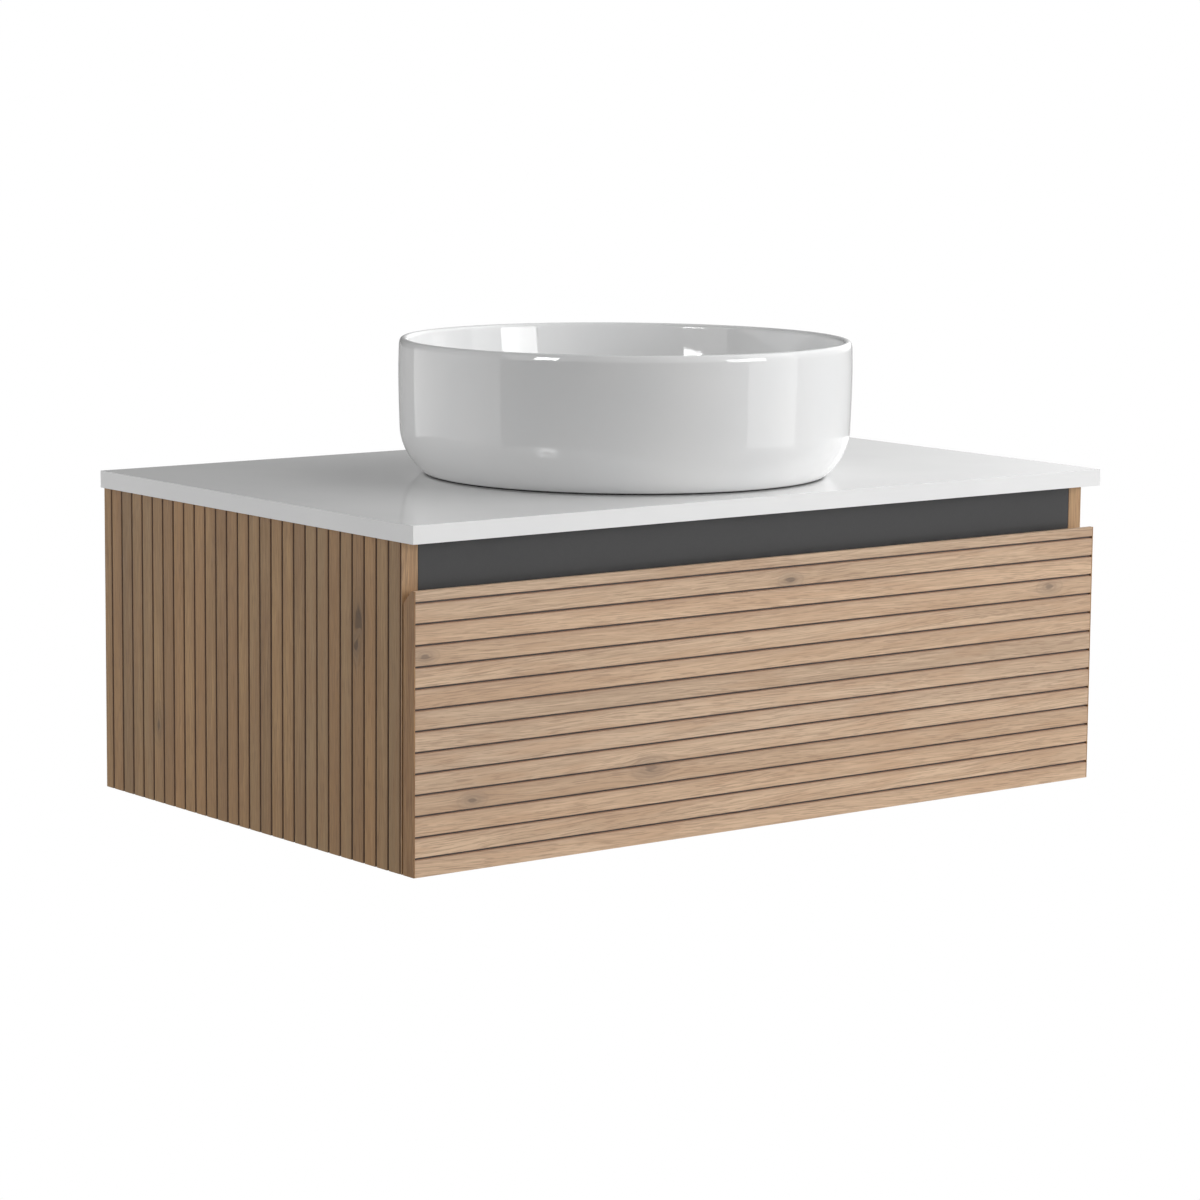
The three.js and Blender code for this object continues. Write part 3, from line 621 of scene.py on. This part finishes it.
def bowl_section():
    """From the foot's inner edge up the outside, over the rim and down the inside to the waste."""
    top = (BASIN_HIGH.z - TOP_HIGH.z) / MM
    wall, height = OUTER_WALL[0]
    start = -math.asin((height - FOOT_RING[0][1]) / LOWER_BEND)
    turns = [start * (1 - i / 24) for i in range(25)]
    section = FOOT_RING + arc((wall - LOWER_BEND, height), LOWER_BEND, turns)

    lead, lead_turn = LEAD_IN
    lead_height = top - RIM_DROP
    section += spline([*OUTER_WALL, (WALL_TOP, lead_height)], 8)[1:]
    turns = [lead_turn * i / 8 for i in range(1, 9)]
    section += arc((WALL_TOP - lead, lead_height), lead, turns)
    turns = [lead_turn + (math.pi / 2 - lead_turn) * i / 9 for i in range(1, 10)]
    section += arc((RIM_MIDDLE, top - RIM_OUTER), RIM_OUTER, turns)
    turns = [math.pi / 2 * (1 + i / 9) for i in range(1, 9)]
    section += arc((RIM_MIDDLE, top - RIM_INNER), RIM_INNER, turns)

    slope, curve = INNER_WALL
    wall_top = top - RIM_INNER
    for i in range(25):
        down = (wall_top - INNER_WALL_FOOT) * i / 24
        section.append((RIM_MIDDLE - RIM_INNER - slope * down - curve * down * down, wall_top - down))
    foot, height = section[-1]
    start = -INNER_WALL_SLOPE
    middle = (foot - INNER_BEND * math.cos(start), height - INNER_BEND * math.sin(start))
    section += arc(middle, INNER_BEND, [start - (math.pi / 2 + start) * i / 24 for i in range(1, 25)])
    section += spline([section[-1], *BOWL_FLOOR], 5)[1:]
    return section + UNDERSIDE


def build_basin():
    mesh = mesh_data("basin_bowl", turned_mesh(bowl_section(), DRAIN, steps=192))
    finish_mesh("basin_bowl", mesh, "cabinet", "basin", BOWL_SHARP)


# ---------- waste and trap ----------

# Outlines are (radius, height or depth, ease) corners in millimetres, from DRAIN or OUTLET.
TAIL = 21  # radius of the waste's threaded tail
TAIL_BORE = 18
CLEARANCE = 0.3
TUBE = 16  # radius of the trap's dip tube
TUBE_BORE = 14.5
TRAP_BORE = TUBE + CLEARANCE
TRAP_STUB = 19  # radius of the trap head's threaded outlet
NUT_COLLAR = 3  # plain part of a nut beside its grip
SOCKET = 1.9  # radius of a screw's socket
WASTE_THREAD = 1.8, 0.5  # pitch and depth
TRAP_THREAD = 1.6, 0.4
SCREW_THREAD = 1.2, 0.5


def upright(node):
    """Outer radius, foot and top of a piece that stands under the basin, in millimetres."""
    low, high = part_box(node)
    return (high.x - low.x) / 2 / MM, (low.z - DRAIN.z) / MM, (high.z - DRAIN.z) / MM


def level(node):
    """Outer radius, front end and wall end of a piece that lies along Y, in millimetres."""
    low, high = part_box(node)
    return (high.x - low.x) / 2 / MM, low.y / MM, high.y / MM


def ribbed(count, depth, inner, low, high):
    """Narrow grip notches round a nut, outside the inner radius and between two heights."""
    def shape(radius, height, turn):
        if radius < inner or not low <= height <= high:
            return radius
        return radius - depth * (0.5 - 0.5 * math.cos(count * turn)) ** 3
    return shape


def hexagonal(corner, bore):
    """Six flats outside the bore, corner being the radius over the corners."""
    def shape(radius, height, turn):
        if radius <= bore:
            return radius
        flat = corner * math.cos(math.pi / 6) / math.cos(turn % (math.pi / 3) - math.pi / 6)
        return min(radius, flat)
    return shape


def socket_lobes(radius, height, turn):
    """Six lobes round a screw's socket."""
    return radius * (1 + 0.16 * math.cos(6 * turn)) if radius < SOCKET + 0.1 else radius


def turned_piece(node, outline, body="cabinet", axis="z", closed=True, shape=None, steps=72):
    """Stands for the turned CAD node of that name."""
    name = f"{node}_turned"
    centre = DRAIN if axis == "z" else OUTLET
    mesh = mesh_data(name, turned_mesh(eased(outline), centre, axis, steps, closed, shape))
    finish_mesh(name, mesh, body, node, TURNED_SHARP)


def ring(inner, outer, low, high, ease):
    """The outline of a plain ring."""
    return [(inner, low, ease), (outer, low, ease), (outer, high, ease), (inner, high, ease)]


def build_seal():
    radius, foot, top = upright("basin_seal")
    turned_piece("basin_seal", ring(radius - 5, radius, foot, top, 0.3), steps=144)


def build_waste():
    radius, foot, top = upright("waste_body")
    seat = top - 2.5
    outline = [(TAIL_BORE, foot, 0.5), (TAIL, foot, 0.5)]
    outline += thread(TAIL, foot + 2, -20, *WASTE_THREAD)
    outline += [
        (TAIL, -19, 0), (TAIL, seat, 0), (radius, seat, 0.3), (radius, seat + 1.6, 0.8),
        (radius - 1.6, top, 0.8), (radius - 4, top, 0.8), (TAIL_BORE + 1, seat - 2.6, 1),
        (TAIL_BORE, seat - 4, 0.5),
    ]
    turned_piece("waste_body", outline)

    radius, foot, top = upright("waste_plug")
    stem, hub, hub_foot, hub_top = 3.5, 21.5, top - 7.4, top - 5.4
    outline = [
        (0, foot, 0), (stem, foot, 0.6), (stem, hub_foot, 0.4), (hub, hub_foot, 0.4), (hub, hub_top, 0),
        (radius - 0.9, hub_top, 0.4), (radius, top - 4.3, 0.6), (radius - 0.6, top - 3.1, 0.8),
    ]
    dome = spline([(radius - 3, top - 2.2), (24, top - 1.3), (12, top - 0.3), (0, top)], 6)
    outline += [(*point, 0) for point in dome]
    turned_piece("waste_plug", outline, "plug", closed=False)

    radius, foot, top = upright("waste_plug_seal")
    inside = 21.9
    turned_piece("waste_plug_seal", [
        (inside, foot, 0), (radius - 0.4, foot, 0.2), (radius, (foot + top) / 2, 0.3),
        (radius - 0.4, top, 0.2), (inside, top, 0),
    ], "plug")

    radius, foot, top = upright("waste_washer")
    bore = TAIL + CLEARANCE
    turned_piece("waste_washer", ring(bore, radius, foot, top, 0.7))

    radius, foot, top = upright("waste_nut")
    flat, chamfer = radius * math.cos(math.pi / 6), 2.2
    turned_piece("waste_nut", [
        (bore, foot, 0.6), (flat - 0.5, foot, 0), (radius, foot + chamfer, 0),
        (radius, top - chamfer, 0), (flat - 0.5, top, 0), (bore, top, 0.6),
    ], shape=hexagonal(radius, bore), steps=120)


def build_inlet():
    """The nut under the waste, and the tube that dips into the trap."""
    radius, foot, top = upright("trap_inlet_nut")
    bore, lip, grip_top = TAIL + CLEARANCE, foot + 2.7, top - NUT_COLLAR
    outline = [
        (TRAP_BORE, foot, 0.4), (radius - 2.5, foot, 0.8), (radius, foot + 2.5, 0.8),
        (radius, grip_top, 0), (radius, grip_top + 0.3, 0),  # the grip's notches end between these
        (radius, top, 0.6), (bore, top, 0.4), (bore, lip, 0), (TRAP_BORE, lip, 0),
    ]
    grip = ribbed(18, 0.9, TAIL + 3, foot + 1, grip_top)
    turned_piece("trap_inlet_nut", outline, shape=grip, steps=144)

    radius, foot, top = upright("trap_dip_tube")
    collar = top - 2.3
    turned_piece("trap_dip_tube", [
        (TUBE_BORE, foot, 0.3), (TUBE, foot, 0.3), (TUBE, collar, 0.3), (radius, collar, 0.4),
        (radius, top, 0.6), (TUBE_BORE, top, 0.3),
    ])


def build_trap():
    """The trap's head with its threaded stub, and the cup that screws onto it."""
    head, foot, top = upright("trap_head")
    inside, roof = head - 2.5, top - 4
    shell = turned_mesh(eased([
        (inside, foot, 0.4), (head, foot, 0.4), (head, roof, 3), (head - 4, top, 2),
        (TRAP_BORE, top, 0.5), (TRAP_BORE, roof, 0), (inside, roof, 0),
    ]), DRAIN)
    root, end = DRAIN.y / MM + head - 3, level("trap_head")[2]
    outline = [
        (TRAP_BORE, root, 0), (TRAP_STUB + 3, root, 0), (TRAP_STUB + 3, root + 4.2, 0),
        (TRAP_STUB, root + 6.5, 1.2), (TRAP_STUB, end - 16, 0),
        *thread(TRAP_STUB, end - 15, end - 1, *TRAP_THREAD),
        (TRAP_STUB, end, 0.4), (TRAP_BORE, end, 0.4),
    ]
    turned_mesh(eased(outline), OUTLET, "y", 72, mesh=shell)
    mesh = mesh_data("trap_head", shell)
    finish_mesh("trap_head_turned", mesh, "cabinet", "trap_head", TURNED_SHARP)

    neck, shelf = head + CLEARANCE, foot - CLEARANCE
    radius, foot, top = upright("trap_cup")
    collar, body = top - 13, 31.6
    bowl = spline([(24, foot + 0.4), (29, foot + 3), (31.2, foot + 8), (body, foot + 16)], 5)
    outline = [(0, foot, 0), (20, foot, 2), *((*point, 0) for point in bowl)]
    outline += [
        (body, collar - 1.5, 0.5), (radius, collar, 0.6),
        (radius, top - 1.2, 0), (radius, top - 1, 0),  # the grip's notches end between these
        (radius, top, 0.6), (neck, top, 0.4), (neck, shelf, 0), (inside, shelf, 0.3),
        (inside, foot + 9, 3), (20, foot + 3, 2), (0, foot + 3, 0),
    ]
    grip = ribbed(24, 0.8, 32, collar, top - 1.1)
    turned_piece("trap_cup", outline, closed=False, shape=grip, steps=144)


def build_outlet():
    """The nut on the trap's stub, the pipe into the wall and its rosette."""
    radius, front, back = level("trap_outlet_nut")
    bore, lip, grip_front = TRAP_STUB + CLEARANCE, back - 3, front + NUT_COLLAR
    outline = [
        (TRAP_BORE, back, 0.4), (TRAP_BORE, lip, 0), (bore, lip, 0), (bore, front, 0.4),
        (radius, front, 0.6), (radius, grip_front, 0), (radius, back - 2, 0.8), (radius - 2, back, 0.8),
    ]
    grip = ribbed(18, 0.8, TRAP_STUB + 2, grip_front, back - 1)
    turned_piece("trap_outlet_nut", outline, axis="y", shape=grip, steps=144)

    radius, front, back = level("trap_outlet_pipe")
    turned_piece("trap_outlet_pipe", ring(TUBE_BORE, radius, front, back, 0.3), axis="y")

    radius, front, back = level("wall_rosette")
    shell = spline([(20, front + 1), (26, front + 2.2), (31.5, front + 5.5), (radius, back)], 6)
    outline = [(TRAP_BORE, front, 0.3), (18.5, front, 0.6), *((*point, 0) for point in shell)]
    turned_piece("wall_rosette", [*outline, (TRAP_BORE, back, 0)], axis="y")


def build_screw(node, body, head, shank, rise, facing):
    """A screw along Y, from its head's and shank's radii and its head's height in millimetres.
    facing is the side that its head looks to: -1 is the room, 1 the wall."""
    low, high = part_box(node)
    crown = low.y if facing < 0 else high.y
    length = (high.y - low.y) / MM
    outline = [
        (0, 1.3, 0), (SOCKET, 1.2, 0), (SOCKET, 0.1, 0.1), (SOCKET + 0.5, 0, 0.1), (0.6 * head, 0, 0.5),
        (0.95 * head, 0.5 * rise, 0.6), (head, rise, 0.2), (shank, rise, 0),
    ]
    if length - rise > 4:
        outline += thread(shank, rise + 1, length - 2, *SCREW_THREAD)
    outline += [(0.6 * shank, length, 0.3), (0, length, 0)]
    outline = [(radius, -facing * depth, ease) for radius, depth, ease in outline]
    centre = Vector(((low.x + high.x) / 2, crown, (low.z + high.z) / 2))
    name = f"{node}_turned"
    mesh = mesh_data(name, turned_mesh(eased(outline), centre, "y", 48, False, socket_lobes))
    finish_mesh(name, mesh, body, node, TURNED_SHARP)


def ease_edges(node, width):
    """Rounds off a carried-over board's or sheet's edges, after joining up its triangles."""
    piece = frame["nodes"][node]
    piece.data.shade_flat()
    piece.modifiers.new("joined", "WELD").merge_threshold = 0.01 * MM
    modifier = piece.modifiers.new("eased", "BEVEL")
    modifier.width = width
    modifier.segments = 2
    modifier.limit_method = "ANGLE"
    modifier.angle_limit = math.radians(40)


def paint(node, look):
    """Gives a carried-over CAD node its look."""
    data = frame["nodes"][node].data
    data.materials.clear()
    data.materials.append(look)


def make_floor():
    """A pale floor that the camera sees as plain white, and nothing from underneath."""
    look = Look("floor", 0.9)
    cloud = look.noise(look.place(), 0.4, 2.0)
    look.give("Base Color", look.mix(cloud, *FLOOR_TONES))
    glow = look.node("ShaderNodeEmission", {"Color": (1, 1, 1, 1), "Strength": 1.0})
    eye = look.node("ShaderNodeLightPath").outputs["Is Camera Ray"]
    above = look.node("ShaderNodeMixShader", {0: eye, 1: look.shader.outputs[0], 2: glow.outputs[0]})
    under = look.node("ShaderNodeNewGeometry").outputs["Backfacing"]
    clear = look.node("ShaderNodeBsdfTransparent")
    choose = look.node("ShaderNodeMixShader", {0: under, 1: above.outputs[0], 2: clear.outputs[0]})
    look.feed(look.tree.nodes["Material Output"].inputs["Surface"], choose.outputs[0])
    mesh = bpy.data.meshes.new("floor")
    half, z = FLOOR_SIZE / 2, CAD_LOW.z - FLOOR_DROP
    corners = [(-half, -half, z), (half, -half, z), (half, half, z), (-half, half, z)]
    mesh.from_pydata(corners, [], [(0, 1, 2, 3)])
    mesh.materials.append(look.material)
    floor = bpy.data.objects.new("floor", mesh)
    bpy.context.scene.collection.objects.link(floor)


def towards(azimuth, elevation):
    """A direction: azimuth 0 is the room side, 90 the object's right; both in degrees."""
    a, e = math.radians(azimuth), math.radians(elevation)
    return Vector((math.sin(a) * math.cos(e), -math.cos(a) * math.cos(e), math.sin(e)))


def softbox(name, azimuth, elevation, distance, size, radiance, lights=True):
    """A softbox that faces the basin. One that doesn't light is only seen in reflections."""
    data = bpy.data.lights.new(name, "AREA")
    data.shape = "RECTANGLE"
    data.size, data.size_y = size
    data.energy = radiance * math.pi * size[0] * size[1]
    light = bpy.data.objects.new(name, data)
    light.visible_diffuse = lights
    away = towards(azimuth, elevation)
    light.rotation_mode = "QUATERNION"
    light.rotation_quaternion = away.to_track_quat("Z", "Y")
    light.location = DRAIN + away * distance
    bpy.context.scene.collection.objects.link(light)


ROOM_LEVEL = 0.02
ROOM_GLOWS = [  # azimuth, elevation, tightness and strength of each soft glow in the room
    (66, 43, 8, 2.85),
    (-120, 22, 6, 1.35),
    (118, 12, 16, 1.6),
    (128, 8, 60, 0.4),
]


def make_world():
    """White to the eye, and a room with soft glows for the light."""
    world = bpy.data.worlds.new("studio")
    world.use_nodes = True
    tree = world.node_tree
    tree.nodes.clear()
    new, link = tree.nodes.new, tree.links.new
    place = new("ShaderNodeTexCoord").outputs["Generated"]

    def math_node(operation, a, b):
        made = new("ShaderNodeMath")
        made.operation = operation
        for socket, value in zip(made.inputs, (a, b)):
            if isinstance(value, bpy.types.NodeSocket):
                link(value, socket)
            else:
                socket.default_value = value
        return made.outputs[0]

    total = ROOM_LEVEL
    for azimuth, elevation, tightness, strength in ROOM_GLOWS:
        aim = new("ShaderNodeVectorMath")
        aim.operation = "DOT_PRODUCT"
        aim.inputs[1].default_value = towards(azimuth, elevation)
        link(place, aim.inputs[0])
        away = math_node("MULTIPLY", math_node("SUBTRACT", aim.outputs["Value"], 1.0), tightness)
        glow = math_node("MULTIPLY", math_node("EXPONENT", away, 0.0), strength)
        total = math_node("ADD", glow, total)
    room, white = new("ShaderNodeBackground"), new("ShaderNodeBackground")
    link(total, room.inputs["Strength"])
    room.inputs["Color"].default_value = (1, 1, 1, 1)
    white.inputs["Color"].default_value = (1, 1, 1, 1)
    path, choose = new("ShaderNodeLightPath"), new("ShaderNodeMixShader")
    out = new("ShaderNodeOutputWorld")
    link(path.outputs["Is Camera Ray"], choose.inputs["Fac"])
    link(room.outputs[0], choose.inputs[1])
    link(white.outputs[0], choose.inputs[2])
    link(choose.outputs[0], out.inputs["Surface"])
    bpy.context.scene.world = world


make_camera()
make_world()
make_floor()
# Each softbox's azimuth, elevation, distance, size and radiance.
softbox("window", 24, 11, 4.0, (1.55, 1.2), 7.5)
softbox("panel", 40, 11, 4.0, (2.3, 3.4), 1.35)
softbox("left_box", -77.5, 19, 3.0, (0.58, 0.75), 18.0, lights=False)
softbox("left_wall", -136, -3, 4.0, (5.4, 1.4), 0.85)
softbox("reflector", -42, 30, 4.0, (11.2, 3.6), 1.4, lights=False)

bpy.context.scene.view_settings.view_transform = "Standard"

# Slats are counted from a groove that is some whole pitches outside the board.
FRONT_SPARE = 40
SIDE_SPARE = 2
FRONT_START = FRONT_HIGH.z - FRONT_FIRST - FRONT_SPARE * FRONT_PITCH
SIDE_START = SIDE_LOW.y - SIDE_BAND + SIDE_FIRST - SIDE_SPARE * SIDE_PITCH
# The last pair of each is the span, in parts of the pitch, that is given painted shade next to a
# groove.
FRONT_SLATS = FRONT_START, FRONT_PITCH, (0.66, 0.92)
SIDE_SLATS = SIDE_START, SIDE_PITCH, (0.34, 0.08)
FRONT_TINT = (1.0, 1.02, 1.07)
# These tints darken the sides, the edge bands and the drawer front's ends more than the front. This is
# painted shade on faces that turn from the light or lie under the worktop.
SIDE_PAINTED_SHADE_TINT = (0.63, 0.53, 0.34)
BAND_PAINTED_SHADE_TINT = (0.75, 0.66, 0.52)
FRONT_END_PAINTED_SHADE_TINT = (0.57, 0.44, 0.26)
CARCASS_TINT = (0.9, 0.86, 0.8)
FRONT_KNOTS = [  # place along the grain, place across it, radius
    (FRONT_LOW.x + 0.010, FRONT_HIGH.z - 0.056, 0.0028),
    (FRONT_LOW.x + 0.060, FRONT_HIGH.z - 0.185, 0.0030),
    (FRONT_LOW.x + 0.255, FRONT_HIGH.z - 0.178, 0.0040),
    (FRONT_LOW.x + 0.415, FRONT_HIGH.z - 0.022, 0.0028),
    (FRONT_LOW.x + 0.742, FRONT_HIGH.z - 0.054, 0.0032),
]
SIDE_KNOTS = [
    (SIDE_HIGH.z - 0.211, SIDE_HIGH.y - 0.095, 0.0040),
    (SIDE_HIGH.z - 0.073, SIDE_HIGH.y - 0.424, 0.0050),
    (SIDE_HIGH.z - 0.096, SIDE_HIGH.y - 0.420, 0.0034),
]
GLAZE = glaze_look()
WORKTOP = worktop_look()
OAK_FRONT = oak(
    "oak_front", "x", "z", FRONT_TINT, 0.35, 3.0, FRONT_SLATS,
    face=("y", FRONT_LOW.y, -1), groove=FRONT_GROOVE_SHADE, knots=FRONT_KNOTS,
)
OAK_LEFT = oak(
    "oak_left", "z", "y", SIDE_PAINTED_SHADE_TINT, 0.85, 11.0, SIDE_SLATS,
    face=("x", SIDE_LOW.x, -1), groove=SIDE_GROOVE_SHADE, knots=SIDE_KNOTS, knot_depth=0.6,
)
OAK_RIGHT = oak(
    "oak_right", "z", "y", SIDE_PAINTED_SHADE_TINT, 0.85, 29.0, SIDE_SLATS,
    face=("x", -SIDE_LOW.x, 1), groove=SIDE_GROOVE_SHADE,
)
OAK_EDGE = oak("oak_edge", "z", "x", BAND_PAINTED_SHADE_TINT, 0.9, 5.0)
OAK_FRONT_END = oak("oak_front_end", "z", "y", FRONT_END_PAINTED_SHADE_TINT, 0.8, 6.0)
OAK_INSIDE = oak("oak_inside", "x", "z", CARCASS_TINT, 0.4, 7.0)
OAK_BOTTOM = oak("oak_bottom", "x", "y", CARCASS_TINT, 0.4, 8.0)
ANTHRACITE = speckled(
    "anthracite", (0.032, 0.032, 0.033), (0.042, 0.042, 0.043), 900.0, 0.42, FINE_TEXTURE, ior=1.42
)
GREY_BOARD = speckled(
    "grey_board", (0.10, 0.10, 0.104), (0.15, 0.15, 0.152), 600.0, 0.55, BOARD_TEXTURE
)
ZINC = brushed("zinc", (0.62, 0.63, 0.65), "y")
CHROME = speckled("chrome", (0.83, 0.84, 0.86), (0.78, 0.79, 0.81), 120.0, 0.1, metallic=1.0)
RUBBER = speckled("rubber", (0.018, 0.018, 0.019), (0.03, 0.03, 0.03), 900.0, 0.7, FINE_TEXTURE)
PLASTIC = speckled(
    "plastic", (0.028, 0.028, 0.03), (0.045, 0.045, 0.048), 700.0, 0.45, FINE_TEXTURE
)

LOOKS = {
    "oak": OAK_INSIDE, "oak_edge": OAK_EDGE, "grey_board": GREY_BOARD, "anthracite": ANTHRACITE,
    "white_worktop": WORKTOP, "white_glaze": GLAZE, "zinc_steel": ZINC, "chrome": CHROME,
    "black_rubber": RUBBER, "black_plastic": PLASTIC,
}
for node, slot in SLOTS.items():
    paint(node, LOOKS[slot])
paint("bottom_panel", OAK_BOTTOM)
paint("drawer_front", OAK_FRONT)
paint("side_panel_left", OAK_LEFT)
paint("side_panel_right", OAK_RIGHT)
paint("drawer_front_band_left", OAK_FRONT_END)
paint("drawer_front_band_right", OAK_FRONT_END)

build_basin()
build_seal()
build_waste()
build_inlet()
build_trap()
build_outlet()
for i in range(1, 5):
    build_screw(f"wall_screw_{i}", "cabinet", 5.5, 2.7, 3.0, -1)
    build_screw(f"drawer_screw_{i}", "drawer", 4.5, 2.3, 2.4, 1)
finish_mesh("worktop_slab", worktop_mesh(), "cabinet", "worktop", SLAB_SHARP)
for node, slot in SLOTS.items():
    if node not in replaced and slot not in ("oak", "oak_edge"):  # veneered boards stay sharp
        ease_edges(node, SHEET_EASE if slot == "zinc_steel" else BOARD_EASE)
